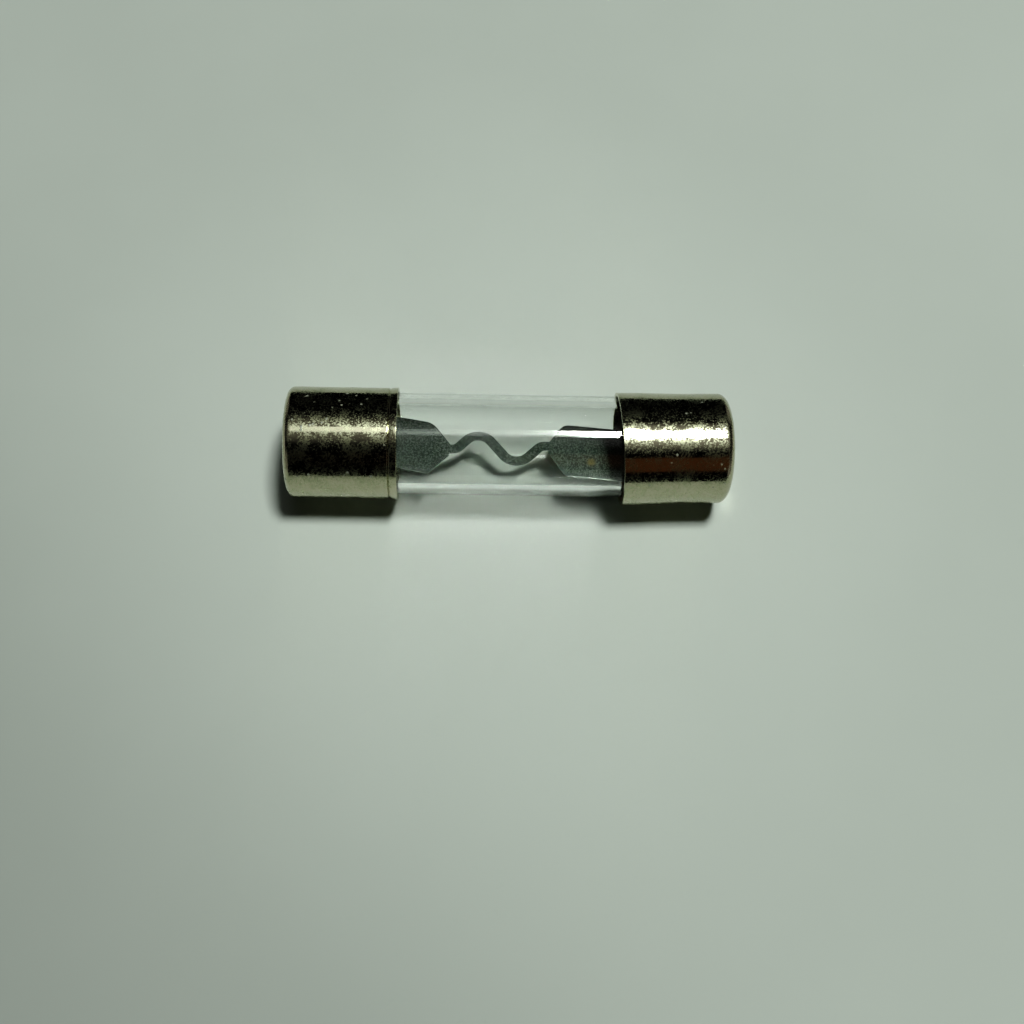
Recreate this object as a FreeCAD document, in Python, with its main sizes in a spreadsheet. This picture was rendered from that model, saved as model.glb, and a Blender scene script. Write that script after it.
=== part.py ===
import FreeCAD, Part
import os
import re
import Sketcher

# Glass cartridge fuse: a glass tube, a pressed cap on each end, one stamped strip inside, and the
# solder and cement that hold them together. Millimetres. The origin is the middle of the fuse on
# its axis, +X runs along the axis and +Z is up.

Vector = FreeCAD.Vector
START, END, CENTRE = 1, 2, 3
LEFT, RIGHT = -1, 1

DIMENSIONS = (
    ("overall_length", 38.1, "over the closed faces of both caps"),
    ("cap_length", 9.5, "mouth to closed face"),
    ("cap_radius", 4.8, "outside, where a clip grips"),
    ("cap_wall", 0.3, "side wall"),
    ("cap_end_wall", 0.4, "closed end"),
    ("cap_corner", 0.95, "outside rounding of the closed end"),
    ("cap_inner_corner", 0.6, "inside rounding of the closed end"),
    ("lip_flare", 0.05, "growth in radius at the creased mouth"),
    ("lip_length", 0.54, "creased mouth, from the rim to the crease"),
    ("mouth_flare", 0.11, "growth in radius at the flared mouth"),
    ("mouth_length", 5.4, "flared mouth, from the rim to the straight part"),
    ("crease_depth", 0.12, "below the cap's surface"),
    ("crease_bend", 0.2, "radius of the crease's hollow"),
    ("left_cap_x", "=cap_length - overall_length / 2", "centre of the left cap's mouth"),
    ("left_cap_y", 0.0, "the same, across the tube"),
    ("left_cap_turn", 180.0, "degrees from +X to the way the cap's closed end faces"),
    ("right_cap_x", 9.4585, "centre of the right cap's mouth"),
    ("right_cap_y", -0.209, "the same, across the tube: this cap sits slightly askew"),
    ("right_cap_turn", 1.4, "degrees from +X to the way the cap's closed end faces"),
    ("glass_radius", 4.38, "outside of the tube"),
    ("glass_wall", 0.94, "tube wall"),
    ("glass_polish", 0.2, "fire-polished rounding of the tube's ends"),
    ("glass_end_gap", 0.35, "between the tube's end and the cap's floor"),
    ("cement_inset", 0.5, "from the mouth to the cement"),
    ("cement_length", 4.5, "along the axis"),
    ("solder_radius", 3.3, "inside the tube"),
    ("solder_depth", 1.3, "from the cap's floor"),
    ("solder_meniscus", 0.6, "rounding of the solder's edge"),
    ("strip_level", -0.7, "height of the strip against the axis"),
    ("strip_thickness", 0.12, "stamped sheet"),
    ("link_width", 0.9, "the narrow S-shaped part"),
    ("link_bend", 1.3, "centre-line radius of the S"),
    ("neck_bend", 0.8, "centre-line radius next to the tabs"),
    ("left_neck_x", -5.12, "where the left tab begins"),
    ("left_neck_y", -0.1, "link beside the left tab"),
    ("left_rise_x", -4.55, "the S starts to climb"),
    ("crest_left_x", -3.25, "the S levels out"),
    ("crest_right_x", -1.95, "the S starts to fall"),
    ("crest_y", 1.22, "top of the S"),
    ("trough_left_x", -0.02, "the S levels out"),
    ("trough_right_x", 1.28, "the S starts to climb"),
    ("trough_y", -1.17, "bottom of the S"),
    ("right_rise_x", 2.85, "the S reaches the right neck"),
    ("right_neck_x", 3.5, "where the right tab begins"),
    ("right_neck_y", 0.32, "link beside the right tab"),
    ("neck_lap", 0.5, "link run into each tab"),
    ("tab_width", 5.0, "across each tab"),
    ("tab_neck_width", 1.1, "across the tab where the link joins"),
    ("left_keen_shoulder", 1.43, "from the neck to the left tab's sharp corner"),
    ("right_keen_shoulder", 1.62, "from the neck to the right tab's sharp corner"),
    ("keen_corner", 0.25, "rounding of a sharp corner"),
    ("left_soft_shoulder", 2.05, "from the neck to the left tab's soft corner"),
    ("left_soft_corner", 1.7, "its rounding"),
    ("right_soft_shoulder", 1.15, "from the neck to the right tab's soft corner"),
    ("right_soft_corner", 0.9, "its rounding"),
    ("left_tab_length", 5.6, "from the neck"),
    ("left_tab_turn", 169.0, "degrees from +X to the tab's direction"),
    ("left_tab_shift", -0.18, "of the tab's centre line from the link"),
    ("right_tab_length", 7.4, "from the neck"),
    ("right_tab_turn", -5.5, "degrees from +X to the tab's direction"),
    ("right_tab_shift", -0.14, "of the tab's centre line from the link"),
    ("tail_width", 2.2, "the part of the strip that enters the solder"),
    ("tail_start", 10.1, "distance from the fuse's middle, inside the tab"),
    ("tail_end", 18.1, "distance from the fuse's middle, inside the solder"),
)

doc = FreeCAD.newDocument("cartridge_fuse")
sheet = doc.addObject("Spreadsheet::Sheet", "Dimensions")
for row, (alias, value, note) in enumerate(DIMENSIONS, start=1):
    sheet.set(f"A{row}", alias)
    sheet.set(f"B{row}", str(value))
    sheet.setAlias(f"B{row}", alias)
    sheet.set(f"C{row}", note)
doc.recompute()


# Helpers: cell expressions, sketches and features


def cells(expression):
    """Spell each alias in the expression as a cell of the sheet."""
    return re.sub(r"[a-z]\w+", r"Dimensions.\g<0>", str(expression))


def value_of(expression):
    """Read the expression's present value."""
    return float(sheet.evalExpression(cells(expression)))


def bind(item, **properties):
    """Tie properties to cells; a double underscore stands for a dot in the property's name."""
    for name, expression in properties.items():
        item.setExpression(name.replace("__", "."), cells(expression))


def constrain(sketch, kind, geometry, expression):
    """Add one dimension to the sketch and tie it to cells."""
    index = sketch.addConstraint(Sketcher.Constraint(kind, *geometry, value_of(expression)))
    sketch.setExpression(f"Constraints[{index}]", cells(expression))


def new_body(label):
    body = doc.addObject("PartDesign::Body", label)
    body.Label = label
    return body


def new_sketch(body, name, plane):
    sketch = body.newObject("Sketcher::SketchObject", name)
    support = next(item for item in body.Origin.OriginFeatures if item.Role == plane)
    sketch.AttachmentSupport = (support, [""])
    sketch.MapMode = "FlatFace"
    return sketch


def draw(sketch, corners, closed=True):
    """Join corners with straight edges; a corner is (across, up) or (across, up, rounding)."""
    places = [Vector(value_of(corner[0]), value_of(corner[1]), 0) for corner in corners]
    edges = len(corners) if closed else len(corners) - 1
    for index in range(edges):
        sketch.addGeometry(Part.LineSegment(places[index], places[(index + 1) % len(places)]))
    for index in range(0 if closed else 1, edges):
        sketch.addConstraint(Sketcher.Constraint("Coincident", (index - 1) % edges, END, index, START))
    for index, corner in enumerate(corners):
        point = (index, START) if index < edges else (index - 1, END)
        constrain(sketch, "DistanceX", point, corner[0])
        constrain(sketch, "DistanceY", point, corner[1])
    doc.recompute()
    for index, corner in enumerate(corners):
        if len(corner) > 2:
            arc = sketch.GeometryCount
            sketch.fillet((index - 1) % edges, END, value_of(corner[2]), True, True)
            constrain(sketch, "Radius", (arc,), corner[2])
    doc.recompute()


def draw_circle(sketch, across, up, radius):
    """Draw one circle; its centre and radius are cell expressions."""
    middle = Vector(value_of(across), value_of(up), 0)
    circle = sketch.addGeometry(Part.Circle(middle, Vector(0, 0, 1), value_of(radius)))
    constrain(sketch, "DistanceX", (circle, CENTRE), across)
    constrain(sketch, "DistanceY", (circle, CENTRE), up)
    constrain(sketch, "Radius", (circle,), radius)


def turn_profile(body, kind, sketch):
    """Revolve or groove the sketch a full turn about the body's X axis."""
    feature = body.newObject(f"PartDesign::{kind}", f"{sketch.Name}_{kind}")
    feature.Profile = sketch
    feature.ReferenceAxis = (sketch, ["H_Axis"])
    feature.Angle = 360
    doc.recompute()
    return feature


def pad_both_ways(body, sketch, thickness):
    """Pad the sketch by half the thickness to each side of its plane."""
    pad = body.newObject("PartDesign::Pad", f"{sketch.Name}_Pad")
    pad.Profile = sketch
    pad.SideType = "Symmetric"
    bind(pad, Length=thickness)
    doc.recompute()
    return pad


def place_with_cap(item, side_name):
    """Put the item's origin at the centre of the cap's mouth, its own +X towards the closed end."""
    item.Placement = FreeCAD.Placement(Vector(), FreeCAD.Rotation(Vector(0, 0, 1), 0))
    bind(
        item,
        Placement__Base__x=f"{side_name}_cap_x",
        Placement__Base__y=f"{side_name}_cap_y",
        Placement__Rotation__Angle=f"{side_name}_cap_turn",
    )


# The glass tube


def make_glass_tube():
    body = new_body("glass_tube")
    section = new_sketch(body, "TubeSection", "YZ_Plane")
    draw_circle(section, 0, 0, "glass_radius")
    draw_circle(section, 0, 0, "glass_radius - glass_wall")
    tube = pad_both_ways(body, section, "overall_length - 2 * (cap_end_wall + glass_end_gap)")
    rims = [
        f"Edge{number}"
        for number, edge in enumerate(tube.Shape.Edges, start=1)
        if isinstance(edge.Curve, Part.Circle)
    ]
    polish = body.newObject("PartDesign::Fillet", "Polish")
    polish.Base = (tube, rims)
    bind(polish, Radius="glass_polish")
    return body


# The two pressed caps


def make_cap(side_name, flare, flare_length):
    """A cup whose mouth opens out by the flare; its own origin is the mouth's centre."""
    body = new_body(f"{side_name}_end_cap")
    wall = new_sketch(body, f"{side_name}_wall", "XZ_Plane")
    inside = "cap_radius - cap_wall"
    floor = "cap_length - cap_end_wall"
    draw(
        wall,
        (
            (0, f"{inside} + {flare}"),
            (0, f"cap_radius + {flare}"),
            (flare_length, "cap_radius"),
            ("cap_length", "cap_radius", "cap_corner"),
            ("cap_length", 0),
            (floor, 0),
            (floor, inside, "cap_inner_corner"),
            (flare_length, inside),
        ),
    )
    turn_profile(body, "Revolution", wall)
    place_with_cap(body, side_name)
    return body


def roll_crease(body):
    """Sink a narrow round-bottomed crease behind the cap's lip."""
    before = body.Shape.Volume
    crease = new_sketch(body, "Crease", "XZ_Plane")
    draw_circle(crease, "lip_length", "cap_radius - crease_depth + crease_bend", "crease_bend")
    turn_profile(body, "Groove", crease)
    if body.Shape.Volume >= before:
        raise RuntimeError("the crease cut nothing")


# The stamped strip: link, tabs and tails


def make_link(body):
    """Sweep the strip's section along the S."""
    route = new_sketch(body, "LinkRoute", "XY_Plane")
    draw(
        route,
        (
            ("left_neck_x - neck_lap", "left_neck_y"),
            ("left_rise_x", "left_neck_y", "neck_bend"),
            ("crest_left_x", "crest_y", "link_bend"),
            ("crest_right_x", "crest_y", "link_bend"),
            ("trough_left_x", "trough_y", "link_bend"),
            ("trough_right_x", "trough_y", "link_bend"),
            ("right_rise_x", "right_neck_y", "neck_bend"),
            ("right_neck_x + neck_lap", "right_neck_y"),
        ),
        closed=False,
    )
    section = new_sketch(body, "LinkSection", "YZ_Plane")
    bind(
        section,
        AttachmentOffset__Base__x="left_neck_y",
        AttachmentOffset__Base__z="left_neck_x - neck_lap",
    )
    draw(
        section,
        (
            ("-link_width / 2", "-strip_thickness / 2"),
            ("link_width / 2", "-strip_thickness / 2"),
            ("link_width / 2", "strip_thickness / 2"),
            ("-link_width / 2", "strip_thickness / 2"),
        ),
    )
    link = body.newObject("PartDesign::AdditivePipe", "Link")
    link.Profile = section
    link.Spine = (route, [f"Edge{number}" for number in range(1, len(route.Shape.Edges) + 1)])
    doc.recompute()


def make_tab(body, side_name, soft_side):
    """Pad one wide tab; its own X axis runs outwards from the neck, its soft corner is on this side."""
    tab = new_sketch(body, f"{side_name}_tab", "XY_Plane")
    tab.AttachmentOffset = FreeCAD.Placement(Vector(), FreeCAD.Rotation(Vector(0, 0, 1), 0))
    bind(
        tab,
        AttachmentOffset__Base__x=f"{side_name}_neck_x",
        AttachmentOffset__Base__y=f"{side_name}_neck_y + {side_name}_tab_shift",
        AttachmentOffset__Rotation__Angle=f"{side_name}_tab_turn",
    )
    length = f"{side_name}_tab_length"
    edge = f"{soft_side} * tab_width / 2"
    neck = f"{soft_side} * tab_neck_width / 2"
    draw(
        tab,
        (
            (0, neck),
            (f"{side_name}_soft_shoulder", edge, f"{side_name}_soft_corner"),
            (length, edge, "keen_corner"),
            (length, f"-({edge})", "keen_corner"),
            (f"{side_name}_keen_shoulder", f"-({edge})", "keen_corner"),
            (0, f"-({neck})"),
        ),
    )
    pad_both_ways(body, tab, "strip_thickness")


def make_tail(body, side_name, side):
    """Pad the narrow end of the strip that runs from the tab into the solder."""
    tail = new_sketch(body, f"{side_name}_tail", "XY_Plane")
    draw(
        tail,
        (
            (f"{side} * tail_start", "-tail_width / 2"),
            (f"{side} * tail_end", "-tail_width / 2"),
            (f"{side} * tail_end", "tail_width / 2"),
            (f"{side} * tail_start", "tail_width / 2"),
        ),
    )
    pad_both_ways(body, tail, "strip_thickness")


def make_fuse_element():
    body = new_body("fuse_element")
    bind(body, Placement__Base__z="strip_level")
    make_link(body)
    make_tab(body, "left", soft_side=-1)
    make_tab(body, "right", soft_side=1)
    make_tail(body, "left", LEFT)
    make_tail(body, "right", RIGHT)
    return body


# Solder and cement


def cut(label, base, tool):
    """Take the tool's shape out of the base."""
    result = doc.addObject("Part::Cut", label)
    result.Label = label
    result.Base = base
    result.Tool = tool
    doc.recompute()
    return result


def make_solder_joint(side_name, element):
    """A pool on the cap's floor, moulded round the strip's tail."""
    pool = new_body(f"{side_name}_pool")
    outline = new_sketch(pool, f"{side_name}_pool_outline", "XZ_Plane")
    floor = "cap_length - cap_end_wall"
    draw(
        outline,
        (
            (floor, 0),
            (floor, "solder_radius"),
            (f"{floor} - solder_depth", "solder_radius", "solder_meniscus"),
            (f"{floor} - solder_depth", 0),
        ),
    )
    turn_profile(pool, "Revolution", outline)
    place_with_cap(pool, side_name)
    return cut(f"{side_name}_solder_joint", pool, element)


def make_cement_ring(side_name, tube, cap):
    """The layer between the tube's outside and the cap's inside."""
    layer = new_body(f"{side_name}_layer")
    outline = new_sketch(layer, f"{side_name}_layer_outline", "XZ_Plane")
    middle_of_glass = "glass_radius - glass_wall / 2"
    middle_of_wall = "cap_radius - cap_wall / 2"
    draw(
        outline,
        (
            ("cement_inset", middle_of_glass),
            ("cement_inset + cement_length", middle_of_glass),
            ("cement_inset + cement_length", middle_of_wall),
            ("cement_inset", middle_of_wall),
        ),
    )
    turn_profile(layer, "Revolution", outline)
    place_with_cap(layer, side_name)
    within_cap = cut(f"{side_name}_layer_in_cap", layer, cap)
    return cut(f"{side_name}_cement_ring", within_cap, tube)


# Assembly, checks and export

glass_tube = make_glass_tube()
left_cap = make_cap("left", "lip_flare", "lip_length")
roll_crease(left_cap)
right_cap = make_cap("right", "mouth_flare", "mouth_length")
fuse_element = make_fuse_element()
PARTS = [
    glass_tube,
    left_cap,
    right_cap,
    fuse_element,
    make_solder_joint("left", fuse_element),
    make_solder_joint("right", fuse_element),
    make_cement_ring("left", glass_tube, left_cap),
    make_cement_ring("right", glass_tube, right_cap),
]
doc.recompute()

for item in doc.Objects:
    if {"Invalid", "Error"} & set(item.State):
        raise RuntimeError(f"{item.Label} did not build: {item.State}")
for item in PARTS:
    if item.Shape.isNull() or not item.Shape.isValid() or len(item.Shape.Solids) != 1:
        raise RuntimeError(f"{item.Label} is not one sound solid")

os.makedirs("parts", exist_ok=True)
for item in PARTS:
    item.Shape.exportStep(f"parts/{item.Label}.step")
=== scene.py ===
import bmesh
import bpy
import math
from mathutils import Matrix, Vector, noise


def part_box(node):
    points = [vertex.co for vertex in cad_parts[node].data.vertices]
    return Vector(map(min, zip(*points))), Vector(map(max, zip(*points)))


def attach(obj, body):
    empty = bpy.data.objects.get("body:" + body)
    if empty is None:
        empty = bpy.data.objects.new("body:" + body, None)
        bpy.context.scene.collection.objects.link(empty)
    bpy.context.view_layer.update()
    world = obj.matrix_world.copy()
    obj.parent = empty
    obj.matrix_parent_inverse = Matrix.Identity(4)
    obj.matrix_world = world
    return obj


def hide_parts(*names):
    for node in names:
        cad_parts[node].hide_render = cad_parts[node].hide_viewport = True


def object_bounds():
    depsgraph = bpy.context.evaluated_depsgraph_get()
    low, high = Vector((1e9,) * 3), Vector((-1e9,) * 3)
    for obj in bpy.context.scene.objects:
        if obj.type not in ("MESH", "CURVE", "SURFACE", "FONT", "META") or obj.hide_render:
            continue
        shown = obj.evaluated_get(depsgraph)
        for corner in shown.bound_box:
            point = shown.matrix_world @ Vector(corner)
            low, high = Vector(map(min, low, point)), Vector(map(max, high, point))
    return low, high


# A glass cartridge fuse on a pale table under one soft lamp. The caps, the glass and the strip are
# finer meshes of the CAD shapes; the solder and the cement keep their CAD meshes.

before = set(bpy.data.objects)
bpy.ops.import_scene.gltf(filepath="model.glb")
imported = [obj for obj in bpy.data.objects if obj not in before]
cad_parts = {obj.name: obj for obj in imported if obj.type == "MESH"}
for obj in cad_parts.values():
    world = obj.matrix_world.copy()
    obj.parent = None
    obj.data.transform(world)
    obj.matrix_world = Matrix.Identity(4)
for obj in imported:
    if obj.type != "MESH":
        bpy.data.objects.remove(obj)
cad_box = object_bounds()

MM = 0.001
LEFT, RIGHT = -1, 1

# Sizes that the frame gives, in metres.
LEFT_MOUTH_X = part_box("left_end_cap")[1].x
CAP_LENGTH = LEFT_MOUTH_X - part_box("left_end_cap")[0].x
GLASS_HALF_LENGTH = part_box("glass_tube")[1].x
GLASS_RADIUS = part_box("glass_tube")[1].y
FLOOR_Z = cad_box[0].z

# Sizes that the frame doesn't give. The closed corner is CAP_CORNER deep across the axis and
# CAP_SHOULDER long along it.
CAP_RADIUS = 4.8 * MM
CAP_WALL = 0.3 * MM
CAP_END_WALL = 0.4 * MM
CAP_CORNER = 0.95 * MM
CAP_SHOULDER = {LEFT: 0.62 * MM, RIGHT: 0.80 * MM}
CAP_INNER_CORNER = 0.6 * MM
FACE_DISH = 0.05 * MM
RIM_ROUNDING = 0.04 * MM

# The left cap ends in a crease and a lip, the right one in a long flare that is trimmed askew.
LIP_FLARE = 0.05 * MM
LIP_LENGTH = 0.70 * MM
CREASE_DEPTH = 0.17 * MM
CREASE_WIDTH = 0.17 * MM
MOUTH_FLARE = 0.11 * MM
MOUTH_LENGTH = 5.4 * MM
FLARE_BEND = 0.7
RIM_SHIFT, RIM_SKEW, RIM_LEAN = 0.11 * MM, 0.022, 0.047
RIGHT_MOUTH = (9.4585 * MM, -0.209 * MM, 0)
RIGHT_TURN = 1.4

# The caps' walls are a hair inside the CAD's, with shallow dents.
HAIR = 0.001 * MM
DENT_DEPTH = 0.004 * MM
DENTS_PER_METRE = 420

GLASS_WALL = 0.94 * MM
GLASS_POLISH = 0.2 * MM
STRIP_EDGE = 0.05 * MM

# How fine the meshes are.
ROUND_STEPS = 256
CAP_SPACING = 0.22 * MM
MOUTH_SPACING = 0.02 * MM
MOUTH_FINE_LENGTH = 1.1 * MM
GLASS_SPACING = 0.6 * MM
ON_AXIS = 1e-9

# Each cap is shaped with its mouth's centre at the origin and its closed end towards +X.
PLACED = {
    LEFT: Matrix.Translation((LEFT_MOUTH_X, 0, 0)) @ Matrix.Rotation(math.radians(180), 4, "Z"),
    RIGHT: Matrix.Translation(RIGHT_MOUTH) @ Matrix.Rotation(math.radians(RIGHT_TURN), 4, "Z"),
}


# Mesh helpers


def arc(centre, radius, start, end, steps):
    """Points on part of a circle; the angles are in degrees."""
    turns = [math.radians(start + (end - start) * step / steps) for step in range(steps + 1)]
    return [(centre[0] + radius * math.cos(t), centre[1] + radius * math.sin(t)) for t in turns]


def run(start, end, spacing):
    """Even places from start to end, both included, no further apart than the spacing."""
    steps = max(1, math.ceil(abs(end - start) / spacing))
    return [start + (end - start) * step / steps for step in range(steps + 1)]


def ease(value):
    """Smooth step from 0 to 1."""
    value = min(1.0, max(0.0, value))
    return value * value * (3 - 2 * value)


def new_object(name, mesh, material):
    """An object in the scene, with one material."""
    piece = bpy.data.objects.new(name, mesh)
    bpy.context.scene.collection.objects.link(piece)
    mesh.materials.append(material)
    return piece


def revolve(outline, ring, moved):
    """Turn (x, radius) points about the X axis; ring closes the outline, moved shapes each point."""
    shape = bmesh.new()
    turns = [math.tau * step / ROUND_STEPS for step in range(ROUND_STEPS)]
    loops = []
    for x, radius in outline:
        if radius < ON_AXIS:
            loops.append([shape.verts.new(moved(Vector((x, 0, 0))))])
            continue
        spots = [Vector((x, radius * math.cos(t), radius * math.sin(t))) for t in turns]
        loops.append([shape.verts.new(moved(spot)) for spot in spots])
    following = loops[1:] + (loops[:1] if ring else [])
    for near, far in zip(loops, following):
        for step in range(ROUND_STEPS):
            after = (step + 1) % ROUND_STEPS
            corners = [near[step % len(near)], near[after % len(near)]]
            corners += [far[after % len(far)], far[step % len(far)]]
            shape.faces.new(list(dict.fromkeys(corners)))
    bmesh.ops.recalc_face_normals(shape, faces=shape.faces)
    for face in shape.faces:
        face.smooth = True
    mesh = bpy.data.meshes.new("turned")
    shape.to_mesh(mesh)
    shape.free()
    return mesh


# Shapes


def crease(along):
    """Depth of the rolled crease at a distance from the closed face."""
    away = abs(along - (CAP_LENGTH - LIP_LENGTH)) / (CREASE_WIDTH / 2)
    return CREASE_DEPTH * (1 + math.cos(math.pi * min(1.0, away))) / 2


def cap_outline(side):
    """Half section of a cap, as (distance from the closed face, radius)."""
    flare_start = CAP_LENGTH - (LIP_LENGTH if side == LEFT else MOUTH_LENGTH)
    flare = LIP_FLARE if side == LEFT else MOUTH_FLARE

    def wall(along, radius):
        share = ease((along - flare_start) / (CAP_LENGTH - flare_start))
        grown = radius + flare * share ** FLARE_BEND
        return grown - (crease(along) if side == LEFT else 0)

    face_radius = CAP_RADIUS - CAP_CORNER
    face = [(FACE_DISH * (1 - ease(radius / face_radius)), radius)
            for radius in run(0, face_radius, CAP_SPACING)]
    shoulder = CAP_SHOULDER[side]
    corner = [(shoulder + along * shoulder / CAP_CORNER, radius)
              for along, radius in arc((0, face_radius), CAP_CORNER, 180, 90, 14)]
    rim_x = CAP_LENGTH - RIM_ROUNDING
    fine_from = CAP_LENGTH - MOUTH_FINE_LENGTH
    places = run(shoulder, fine_from, CAP_SPACING) + run(fine_from, rim_x, MOUTH_SPACING)[1:]
    outside = [(along, wall(along, CAP_RADIUS)) for along in places]
    inner_radius = CAP_RADIUS - CAP_WALL
    inner_start = CAP_END_WALL + CAP_INNER_CORNER
    inside = [(along, wall(along, inner_radius)) for along in reversed(places) if along > inner_start]
    rim = arc((rim_x, outside[-1][1] - RIM_ROUNDING), RIM_ROUNDING, 90, 0, 5)[1:]
    rim += arc((rim_x, inside[0][1] + RIM_ROUNDING), RIM_ROUNDING, 0, -90, 5)[:-1]
    centre = (inner_start, inner_radius - CAP_INNER_CORNER)
    inner_corner = arc(centre, CAP_INNER_CORNER, 90, 180, 8)
    return face + corner[1:] + outside[1:] + rim + inside + inner_corner + [(CAP_END_WALL, 0)]


def make_cap(side, name, material):
    """A pressed cap, in its place."""
    outline = [(CAP_LENGTH - along, radius) for along, radius in cap_outline(side)]

    def moved(spot):
        """Press marks: the wall has shallow dents, and the right cap's mouth is trimmed askew."""
        dent = noise.noise(spot * DENTS_PER_METRE + Vector((side * 9, 0, 0))) * DENT_DEPTH
        out = Vector((0, spot.y, spot.z))
        if out.length > ON_AXIS:
            spot = spot + out.normalized() * (min(dent, 0) - HAIR)
        if side == RIGHT:
            askew = RIM_SHIFT - RIM_SKEW * spot.y - RIM_LEAN * spot.z
            spot.x += askew * ease(1 - spot.x / MOUTH_LENGTH)
        return spot

    mesh = revolve(outline, False, moved)
    mesh.transform(PLACED[side])
    piece = new_object(name + "_plated", mesh, material)
    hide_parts(name)
    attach(piece, "root")


def make_glass(material):
    """The tube, with fire-polished ends."""
    straight = GLASS_HALF_LENGTH - GLASS_POLISH
    bore = GLASS_RADIUS - GLASS_WALL
    outer_corner = GLASS_RADIUS - GLASS_POLISH
    inner_corner = bore + GLASS_POLISH
    outline = [(x, GLASS_RADIUS) for x in run(-straight, straight, GLASS_SPACING)]
    outline += arc((straight, outer_corner), GLASS_POLISH, 90, 0, 6)[1:]
    outline += arc((straight, inner_corner), GLASS_POLISH, 0, -90, 6)
    outline += [(x, bore) for x in run(straight, -straight, GLASS_SPACING)[1:]]
    outline += arc((-straight, inner_corner), GLASS_POLISH, 270, 180, 6)[1:]
    outline += arc((-straight, outer_corner), GLASS_POLISH, 180, 90, 6)[:-1]
    piece = new_object("drawn_glass", revolve(outline, True, lambda spot: spot), material)
    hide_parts("glass_tube")
    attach(piece, "root")


def make_strip(material):
    """The CAD strip with its sheared edges rounded a little."""
    nearly_flat, sharp_turn, level = math.radians(1), math.radians(60), 0.9
    shape = bmesh.new()
    shape.from_mesh(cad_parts["fuse_element"].data)
    bmesh.ops.remove_doubles(shape, verts=shape.verts, dist=HAIR)
    bmesh.ops.dissolve_limit(shape, angle_limit=nearly_flat, verts=shape.verts, edges=shape.edges)
    sharp = [edge for edge in shape.edges if edge.is_manifold
             and edge.calc_face_angle() > sharp_turn
             and max(abs(face.normal.z) for face in edge.link_faces) > level]
    bmesh.ops.bevel(shape, geom=sharp, offset=STRIP_EDGE, segments=6, profile=0.5, affect="EDGES")
    mesh = bpy.data.meshes.new("strip")
    shape.to_mesh(mesh)
    shape.free()
    piece = new_object("stamped_strip", mesh, material)
    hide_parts("fuse_element")
    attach(piece, "root")


# Materials, with their sizes in millimetres

BACKDROP = (0.44, 0.50, 0.44, 1)
BLACK = (0, 0, 0, 1)


class Nodes:
    """Short ways to wire a node tree."""

    def __init__(self, tree):
        self.tree = tree

    def add(self, kind, output, settings, inputs):
        """A node with its settings and inputs; an input is a value or another node's output."""
        node = self.tree.nodes.new(kind)
        for key, value in settings.items():
            setattr(node, key, value)
        for key, value in inputs.items():
            if isinstance(value, bpy.types.NodeSocket):
                self.tree.links.new(value, node.inputs[key])
            else:
                node.inputs[key].default_value = value
        return node.outputs[output]

    def ramp(self, value, low, high, start=0.0, end=1.0):
        """Value from low to high becomes start to end, and stops there."""
        return self.add("ShaderNodeMapRange", "Result", {"interpolation_type": "SMOOTHSTEP"},
                        {0: value, 1: low, 2: high, 3: start, 4: end})

    def math(self, operation, first, second=0.0, clamped=False):
        """One sum of one or two values; clamped keeps it from 0 to 1."""
        settings = {"operation": operation, "use_clamp": clamped}
        return self.add("ShaderNodeMath", 0, settings, {0: first, 1: second})

    def product(self, first, *others):
        """All the values multiplied together."""
        for other in others:
            first = self.math("MULTIPLY", first, other)
        return first

    def colour(self, factor, first, second):
        """The first colour where factor is 0, and the second where it is 1."""
        return self.add("ShaderNodeMix", 2, {"data_type": "RGBA"}, {0: factor, 6: first, 7: second})


class Finish(Nodes):
    """One material. Its patterns are laid out in the fuse's own frame."""

    def __init__(self, name, **fixed):
        self.material = bpy.data.materials.new(name)
        self.material.use_nodes = True
        super().__init__(self.material.node_tree)
        self.tree.nodes.clear()
        output = self.tree.nodes.new("ShaderNodeOutputMaterial")
        self.shader = self.tree.nodes.new("ShaderNodeBsdfPrincipled")
        self.tree.links.new(self.shader.outputs[0], output.inputs[0])
        for socket, value in fixed.items():
            self.shader.inputs[socket.replace("_", " ")].default_value = value
        place = self.tree.nodes.new("ShaderNodeTexCoord")
        self.place = self.add("ShaderNodeVectorMath", "Vector", {"operation": "MULTIPLY"},
                              {0: place.outputs["Object"], 1: (1 / MM,) * 3})

    def distance(self, point):
        """How far a place is from a point."""
        return self.add("ShaderNodeVectorMath", "Value", {"operation": "DISTANCE"},
                        {0: self.place, 1: point})

    def reach(self, vector, way):
        """How far a vector reaches along a way."""
        return self.add("ShaderNodeVectorMath", "Value", {"operation": "DOT_PRODUCT"},
                        {0: vector, 1: way})

    def noise(self, size, detail, rough, scale=(1, 1, 1)):
        """Noise from 0 to 1 with features of about that size; a small scale draws it out that way."""
        scaled = self.add("ShaderNodeVectorMath", "Vector", {"operation": "MULTIPLY"},
                          {0: self.place, 1: scale})
        return self.add("ShaderNodeTexNoise", "Fac", {},
                        {"Vector": scaled, "Scale": 1 / size, "Detail": detail, "Roughness": rough})

    def spots(self, size):
        """Distance to the nearest of many scattered points, in units of the size."""
        return self.add("ShaderNodeTexVoronoi", "Distance", {},
                        {"Vector": self.place, "Scale": 1 / size})

    def bump(self, height, depth, under=None):
        """Raise the surface by depth millimetres where height is 1."""
        inputs = {"Height": height, "Distance": depth * MM, "Strength": 1.0}
        if under:
            inputs["Normal"] = under
        return self.add("ShaderNodeBump", "Normal", {}, inputs)

    def use(self, **sockets):
        """Wire outputs into the shader and give back the material."""
        for socket, output in sockets.items():
            self.tree.links.new(output, self.shader.inputs[socket.replace("_", " ")])
        return self.material


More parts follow.
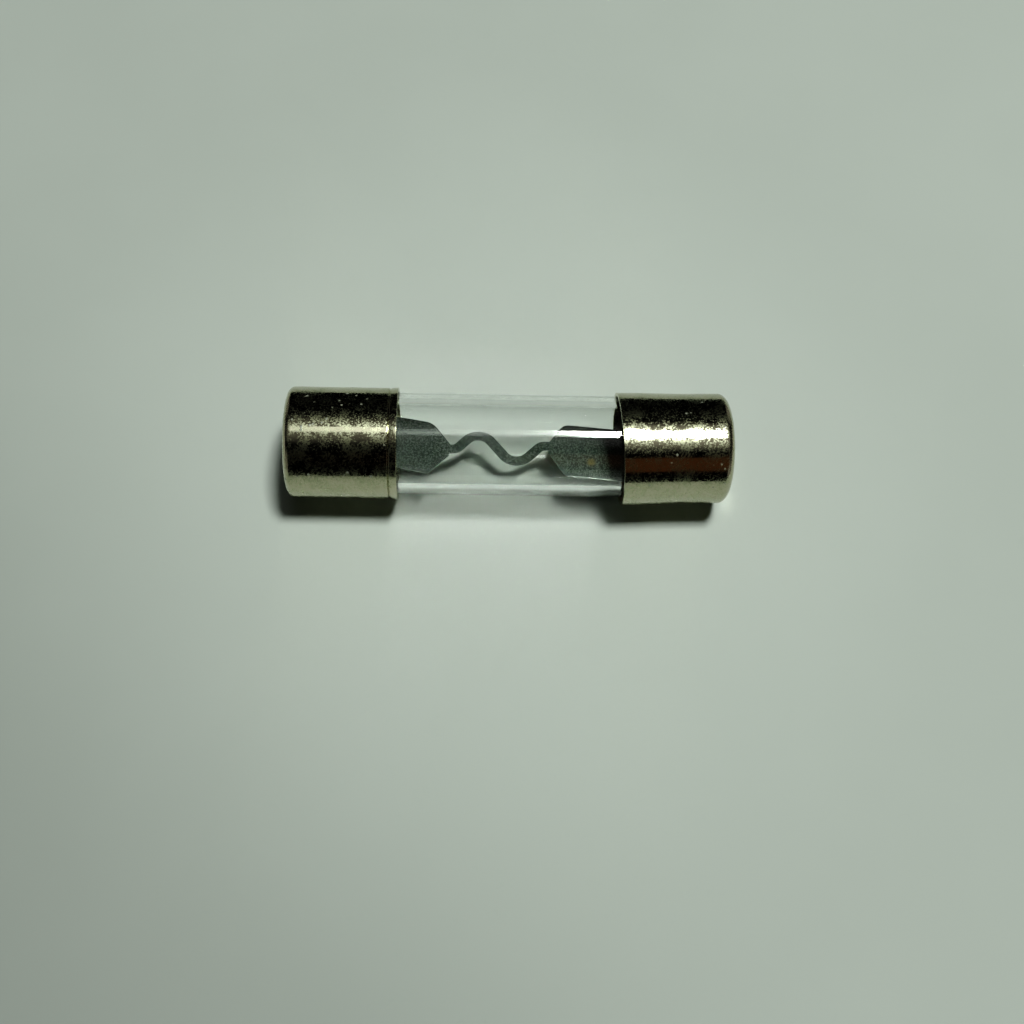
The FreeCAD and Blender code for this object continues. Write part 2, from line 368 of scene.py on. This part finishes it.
def nickel():
    """Bright nickel plating, dulled in fine grains and patches, stained, and pitted where it is worn."""
    bright, dulled = (0.50, 0.465, 0.355, 1), (0.425, 0.43, 0.30, 1)
    stained, pitted = (0.26, 0.25, 0.18, 1), (0.36, 0.37, 0.32, 1)
    worn_place = (-15.0, 2.6, 4.0)
    finish = Finish("nickel")
    patch = finish.product(finish.noise(1.1, 3, 0.6), 0.6)
    grain = finish.noise(0.15, 3, 0.65)
    dull = finish.ramp(finish.math("ADD", patch, grain), 0.66, 0.93)
    stain = finish.ramp(finish.noise(0.45, 3, 0.7), 0.45, 0.70, 0, 0.22)
    worn = finish.ramp(finish.distance(worn_place), 4.5, 2.0, 0, 0.14)
    rare = finish.ramp(finish.math("ADD", finish.noise(1.5, 1, 0.5), worn), 0.60, 0.68)
    pits = finish.product(finish.ramp(finish.spots(0.55), 0.28, 0.14), rare)
    tint = finish.colour(dull, bright, dulled)
    tint = finish.colour(stain, tint, stained)
    tint = finish.colour(pits, tint, pitted)
    metallic = finish.ramp(pits, 0, 1, 1.0, 0.25)
    roughness = finish.ramp(finish.math("MAXIMUM", dull, pits), 0, 1, 0.06, 0.285)
    bump = finish.bump(finish.noise(0.32, 2, 0.6), 0.002)
    bump = finish.bump(grain, 0.0008, bump)
    bump = finish.bump(pits, 0.004, bump)
    return finish.use(Base_Color=tint, Metallic=metallic, Roughness=roughness, Normal=bump)


def clear_glass():
    """Drawn soda glass with faint lines along the tube. Part of the light that falls through it goes
    straight, as transparency in the shadow, and the rest is bent and darkened a little."""
    clear, darkened = (0.975, 0.99, 0.98, 1), (0.90, 0.91, 0.90, 1)
    finish = Finish("clear_glass", Roughness=0.0, IOR=1.51, Transmission_Weight=1.0)
    path = finish.tree.nodes.new("ShaderNodeLightPath")
    lighting = finish.math("ADD", path.outputs["Diffuse Depth"], 0.0, clamped=True)
    tint = finish.colour(lighting, clear, darkened)
    seen = finish.math("SUBTRACT", 1.0, path.outputs["Is Shadow Ray"])
    slant = finish.add("ShaderNodeLayerWeight", "Facing", {}, {"Blend": 0.5})
    alpha = finish.math("ADD", seen, finish.ramp(slant, 0.3, 1.0, 0.36, 0.65), clamped=True)
    lines = finish.noise(0.5, 2, 0.5, scale=(0.02, 1, 1))
    return finish.use(Base_Color=tint, Normal=finish.bump(lines, 0.0006), Alpha=alpha)


def zinc():
    """Dull rolled zinc with a fine spangle, painted shade that darkens it towards the right, one
    brown stain and brighter sheared edges. The first bump leans its faces a little across the width."""
    dark_grain, pale_grain = (0.13, 0.165, 0.14, 1), (0.44, 0.50, 0.45, 1)
    brown, fresh_cut = (0.60, 0.46, 0.20, 1), (0.95, 0.98, 0.93, 1)
    stain_place = (7.2, -1.2, -0.64)
    finish = Finish("zinc", Metallic=0.70)
    grain = finish.noise(0.12, 3, 0.7)
    fleck = finish.ramp(grain, 0.44, 0.62)
    near_stain = finish.ramp(finish.distance(stain_place), 0.55, 0.1)
    stain = finish.product(near_stain, finish.ramp(grain, 0.3, 0.6))
    # painted shade: the strip's colour is taken darker towards the right
    painted_shade_rightward = finish.ramp(finish.reach(finish.place, (1, 0, 0)), 1, 7, 0, 0.35)
    normal = finish.tree.nodes.new("ShaderNodeNewGeometry").outputs["True Normal"]
    sheared = finish.ramp(finish.math("ABSOLUTE", finish.reach(normal, (0, 0, 1))), 0.8, 0.4)
    tint = finish.colour(fleck, dark_grain, pale_grain)
    tint = finish.colour(stain, tint, brown)
    tint = finish.colour(painted_shade_rightward, tint, BLACK)
    tint = finish.colour(sheared, tint, fresh_cut)
    roughness = finish.ramp(fleck, 0, 1, 0.15, 0.21)
    bump = finish.bump(finish.reach(finish.place, (0, 1, 0)), -0.065)
    bump = finish.bump(grain, 0.0022, bump)
    bump = finish.bump(finish.spots(0.22), 0.0012, bump)
    return finish.use(Base_Color=tint, Roughness=roughness, Normal=bump)


def tin_solder():
    """Dull solder, rippled where it set."""
    finish = Finish("tin_solder", Metallic=1.0)
    ripple = finish.noise(0.7, 3, 0.6)
    tint = finish.colour(ripple, (0.42, 0.42, 0.40, 1), (0.62, 0.62, 0.60, 1))
    roughness = finish.ramp(ripple, 0.3, 0.7, 0.3, 0.5)
    return finish.use(Base_Color=tint, Roughness=roughness, Normal=finish.bump(ripple, 0.04))


def brown_cement():
    """Matt, grainy cement."""
    finish = Finish("brown_cement", Metallic=0.0)
    grain = finish.noise(0.25, 4, 0.7)
    tint = finish.colour(grain, (0.16, 0.11, 0.06, 1), (0.34, 0.26, 0.16, 1))
    roughness = finish.ramp(grain, 0.3, 0.7, 0.6, 0.9)
    return finish.use(Base_Color=tint, Roughness=roughness, Normal=finish.bump(grain, 0.03))


def pale_table():
    """Smooth white card, with painted shade that greys it a little away from the fuse and towards the
    near left. Far off it glows with painted light and so melts into the backdrop."""
    card, cloudy = (0.70, 0.745, 0.705, 1), (0.72, 0.765, 0.725, 1)
    finish = Finish("pale_table", Metallic=0.0, Specular_IOR_Level=0.2, Emission_Color=BACKDROP)
    cloud = finish.noise(22, 3, 0.55)
    away = finish.distance((0, 0, 0))
    painted_shade_near_left = finish.reach(finish.place, (-0.7, -0.7, 0))
    tint = finish.colour(finish.ramp(cloud, 0.3, 0.7), card, cloudy)
    # painted shade: the card is greyed away from the fuse and towards the near left
    tint = finish.colour(finish.ramp(away, 15, 50, 0, 0.11), tint, BLACK)
    tint = finish.colour(finish.ramp(painted_shade_near_left, 12, 64, 0, 0.27), tint, BLACK)
    roughness = finish.ramp(cloud, 0.3, 0.7, 0.75, 0.85)
    # painted light: far off, the card glows in the backdrop's colour
    painted_far_glow = finish.ramp(away, 100, 700, 0, 0.85)
    return finish.use(Base_Color=tint, Roughness=roughness, Emission_Strength=painted_far_glow)


# Table, light and camera

TABLE_HALF_LENGTH = 60 * MM
MIRRORED_HALF_WIDTH = 55 * MM
TABLE_REACH = 600 * MM


def make_table(material):
    """A flat table. Only its middle shows in the plating, as a sheet of paper in a dark room does."""
    xs = [-TABLE_REACH, -TABLE_HALF_LENGTH, TABLE_HALF_LENGTH, TABLE_REACH]
    ys = [-TABLE_REACH, -MIRRORED_HALF_WIDTH, MIRRORED_HALF_WIDTH, TABLE_REACH]
    corners = [(x, y, FLOOR_Z) for y in ys for x in xs]
    squares = {(i, j): (i + 4 * j, i + 1 + 4 * j, i + 5 + 4 * j, i + 4 + 4 * j)
               for i in range(3) for j in range(3)}

    def part(name, faces):
        mesh = bpy.data.meshes.new(name)
        mesh.from_pydata(corners, [], faces)
        table = new_object(name, mesh, material)
        return table

    part("table_middle", [squares.pop((1, 1))])
    rest = part("table_rest", list(squares.values()))
    rest.visible_glossy = False


LAMP_HEIGHT = 500 * MM
LAMP_PLACE = (12.5 * MM, 21 * MM)
LAMP_TURN = math.radians(10)
LAMP_SIZE = (255 * MM, 92 * MM)
LAMP_POWER = 4.95
LAMP_COLOUR = (0.93, 1.0, 0.92)

# Places along the lamp from 0 to 1, left to right, and its strength there.
LAMP_FADE = ((0.0, 0.015), (0.30, 0.022), (0.45, 0.029), (0.575, 0.042), (0.63, 0.14), (0.665, 0.7),
             (0.70, 1.0), (0.975, 1.05), (1.0, 0.5))


def make_lamp():
    """One soft lamp overhead, dimmer towards the left."""
    data = bpy.data.lights.new("lamp", "AREA")
    data.shape = "RECTANGLE"
    data.size, data.size_y = LAMP_SIZE
    data.energy = LAMP_POWER
    data.color = LAMP_COLOUR
    lamp = bpy.data.objects.new("lamp", data)
    lamp.location = (*LAMP_PLACE, FLOOR_Z + LAMP_HEIGHT)
    lamp.rotation_euler.z = LAMP_TURN
    bpy.context.scene.collection.objects.link(lamp)
    data.use_nodes = True
    nodes, links = data.node_tree.nodes, data.node_tree.links
    place = nodes.new("ShaderNodeNewGeometry")
    split = nodes.new("ShaderNodeSeparateXYZ")
    fade = nodes.new("ShaderNodeValToRGB")
    stops = fade.color_ramp.elements
    for position, _ in LAMP_FADE[1:-1]:
        stops.new(position)
    for stop, (_, strength) in zip(stops, LAMP_FADE):
        stop.color = (strength, strength, strength, 1)
    links.new(place.outputs["Parametric"], split.inputs[0])
    links.new(split.outputs[0], fade.inputs[0])
    links.new(fade.outputs[0], nodes["Emission"].inputs["Strength"])


GLOW_COLOUR = (1.0, 1.0, 0.95, 1)
BROWN_COLOUR = (0.09, 0.042, 0.018, 1)


def make_world():
    """A pale backdrop to the eye; to the plating a dark room. It has a dim ceiling round the lamp, glows
    low at both ends and in the corners, and something brown on the near right. It doesn't light the
    table."""
    world = bpy.data.worlds.new("room")
    world.use_nodes = True
    room = Nodes(world.node_tree)
    way = room.add("ShaderNodeTexCoord", "Generated", {}, {})
    split = room.tree.nodes.new("ShaderNodeSeparateXYZ")
    room.tree.links.new(way, split.inputs[0])
    x, y, z = split.outputs
    x_size = room.math("ABSOLUTE", x)
    y_size = room.math("ABSOLUTE", y)
    up = room.math("MAXIMUM", z, 0.02)
    along = room.math("DIVIDE", x, up)
    across = room.math("DIVIDE", y, up)
    ceiling = room.product(
        room.ramp(room.math("ABSOLUTE", across), 0.66, 0.14),
        room.ramp(room.math("ABSOLUTE", along), 1.6, 0.6),
        room.ramp(along, -0.15, 0.25, 0.15, 0.34),
    )
    ends = room.product(
        room.ramp(x_size, 0.86, 0.96),
        room.ramp(z, -0.02, 0.06, 0.45, 0.06),
    )
    corners = room.product(
        room.ramp(x_size, 0.35, 0.60),
        room.ramp(y_size, 0.38, 0.60),
        room.ramp(z, 0.62, 0.40, 0, 0.22),
    )
    brown = room.product(
        room.ramp(z, 0.24, 0.30),
        room.ramp(z, 0.72, 0.68),
        room.ramp(y, -0.55, -0.65),
        room.ramp(x, 0.02, 0.08),
    )
    glow = room.math("ADD", room.math("ADD", ceiling, ends), corners)
    mirrored = room.colour(glow, BLACK, GLOW_COLOUR)
    mirrored = room.colour(brown, mirrored, BROWN_COLOUR)
    path = room.tree.nodes.new("ShaderNodeLightPath")
    in_mirror = room.math("ADD", path.outputs["Glossy Depth"], 0.0, clamped=True)
    strength = room.math("SUBTRACT", 1.0, path.outputs["Diffuse Depth"], clamped=True)
    background = room.tree.nodes["Background"]
    room.tree.links.new(room.colour(in_mirror, BACKDROP, mirrored), background.inputs["Color"])
    room.tree.links.new(strength, background.inputs["Strength"])
    bpy.context.scene.world = world


CAMERA_LENS = 43.92
CAMERA_DISTANCE = 106.26 * MM
CAMERA_TARGET = Vector((0.25, -6.31, 0)) * MM
CAMERA_AZIMUTH, CAMERA_ELEVATION, CAMERA_ROLL = -6.37, 66.5, 6.59


def make_camera():
    """The camera at the photo's angle."""
    around, above = math.radians(CAMERA_AZIMUTH), math.radians(CAMERA_ELEVATION)
    back = Vector((math.sin(around) * math.cos(above), -math.cos(around) * math.cos(above),
                   math.sin(above)))
    data = bpy.data.cameras.new("camera")
    data.lens = CAMERA_LENS
    data.clip_start = 1 * MM
    camera = bpy.data.objects.new("camera", data)
    level = (-back).to_track_quat("-Z", "Y").to_matrix().to_4x4()
    roll = Matrix.Rotation(math.radians(CAMERA_ROLL), 4, "Z")
    camera.matrix_world = Matrix.Translation(CAMERA_TARGET + back * CAMERA_DISTANCE) @ level @ roll
    bpy.context.scene.collection.objects.link(camera)
    bpy.context.scene.camera = camera


# Light and how light it is shown; black and white stay as they are.
TONE = ((0.02, 0.008), (0.045, 0.024), (0.10, 0.077), (0.20, 0.19))


def make_tone_curve():
    """Plain colours, with the deep shades taken a little deeper as a camera does."""
    view = bpy.context.scene.view_settings
    view.view_transform = "Standard"
    view.use_curve_mapping = True
    curve = view.curve_mapping.curves[3]
    for light, shown in TONE:
        curve.points.new(light, shown)
    view.curve_mapping.update()


def paint_node(node, material):
    """Give a CAD node that keeps its mesh a better material."""
    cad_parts[node].data.materials[0] = material


plating = nickel()
make_cap(LEFT, "left_end_cap", plating)
make_cap(RIGHT, "right_end_cap", plating)
make_glass(clear_glass())
make_strip(zinc())
solder = tin_solder()
cement = brown_cement()
for side_name in ("left", "right"):
    paint_node(side_name + "_solder_joint", solder)
    paint_node(side_name + "_cement_ring", cement)
make_table(pale_table())
make_lamp()
make_world()
make_camera()
make_tone_curve()
bpy.context.scene.cycles.blur_glossy = 0.0
bpy.context.scene.cycles.sample_clamp_indirect = 0.0
